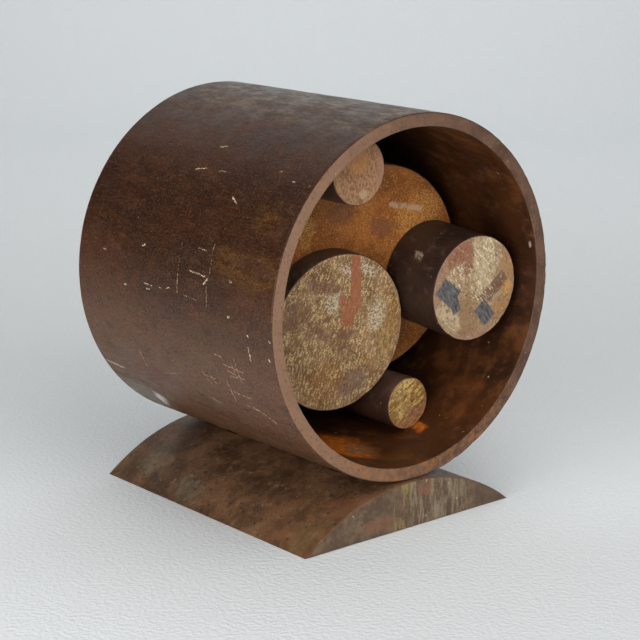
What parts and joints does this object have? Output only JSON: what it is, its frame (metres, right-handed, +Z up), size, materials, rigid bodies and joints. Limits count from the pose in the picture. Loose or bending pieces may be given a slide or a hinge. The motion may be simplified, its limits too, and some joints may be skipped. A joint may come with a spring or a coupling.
{
  "type": "magnetic desk sculpture",
  "caption": "Short rusted steel pipe lying on a round-topped steel base, with steel discs and rods held inside its open end by magnets and free to be pulled off.",
  "frame": {"origin": "on the ground under the middle of the object's box, which is under the pipe's axis", "axes": "+Z up, -Y out of the pipe's open front, +Y along the pipe towards its closed rear, +X to the right seen from the front"},
  "size_m": [0.1682, 0.1524, 0.1908],
  "materials": {
    "oxidised_steel": "dark red-brown oxidised steel, satin, worn bright on its edges",
    "orange_rust": "orange rusted steel, matt with a fine gold speckle",
    "tan_steel": "sawn steel with a thin tan and copper rust bloom",
    "pale_steel": "sawn steel, pale tan with bare blue-grey patches",
    "brass": "plain turned brass",
    "magnet_nickel": "nickel plate on the magnets"
  },
  "bodies": {
    "base": {"base_block": "oxidised_steel", "base_magnet_front": "magnet_nickel", "base_magnet_rear": "magnet_nickel", "base_sleeve_front": "brass", "base_sleeve_rear": "brass"},
    "pipe": {"pipe": "oxidised_steel", "back_plate": "oxidised_steel", "tack_weld_1": "oxidised_steel", "tack_weld_2": "oxidised_steel", "tack_weld_3": "oxidised_steel", "tack_weld_4": "oxidised_steel"},
    "upper_rod": {"upper_rod": "tan_steel", "upper_rod_magnet": "magnet_nickel", "upper_rod_sleeve": "brass"},
    "lower_rod": {"lower_rod": "tan_steel", "lower_rod_magnet": "magnet_nickel", "lower_rod_sleeve": "brass"},
    "disc_stack": {"large_disc": "orange_rust", "carrier_slug": "oxidised_steel", "carrier_front_magnet": "magnet_nickel", "carrier_front_sleeve": "brass", "carrier_rear_magnet": "magnet_nickel", "carrier_rear_sleeve": "brass"},
    "left_disc": {"left_disc": "tan_steel", "left_disc_magnet": "magnet_nickel", "left_disc_sleeve": "brass"},
    "right_slug": {"right_slug": "pale_steel", "right_slug_magnet": "magnet_nickel", "right_slug_sleeve": "brass"}
  },
  "joints": [
    {"name": "pipe_turn", "type": "hinge", "parent": "base", "child": "pipe", "pos_m": [0, 0, 0.1067], "axis": [0, 1, 0], "continuous": true},
    {"name": "upper_rod_pull", "type": "slide", "parent": "pipe", "child": "upper_rod", "axis": [0, -1, 0], "range_m": [0, 0.135]},
    {"name": "lower_rod_pull", "type": "slide", "parent": "pipe", "child": "lower_rod", "axis": [0, -1, 0], "range_m": [0, 0.135]},
    {"name": "stack_pull", "type": "slide", "parent": "pipe", "child": "disc_stack", "axis": [0, -1, 0], "range_m": [0, 0.15]},
    {"name": "left_disc_pull", "type": "slide", "parent": "disc_stack", "child": "left_disc", "axis": [-0.0601, -0.9967, -0.0541], "range_m": [0, 0.06]},
    {"name": "right_slug_pull", "type": "slide", "parent": "disc_stack", "child": "right_slug", "axis": [-0.0601, -0.9967, -0.0541], "range_m": [0, 0.06]}
  ]
}
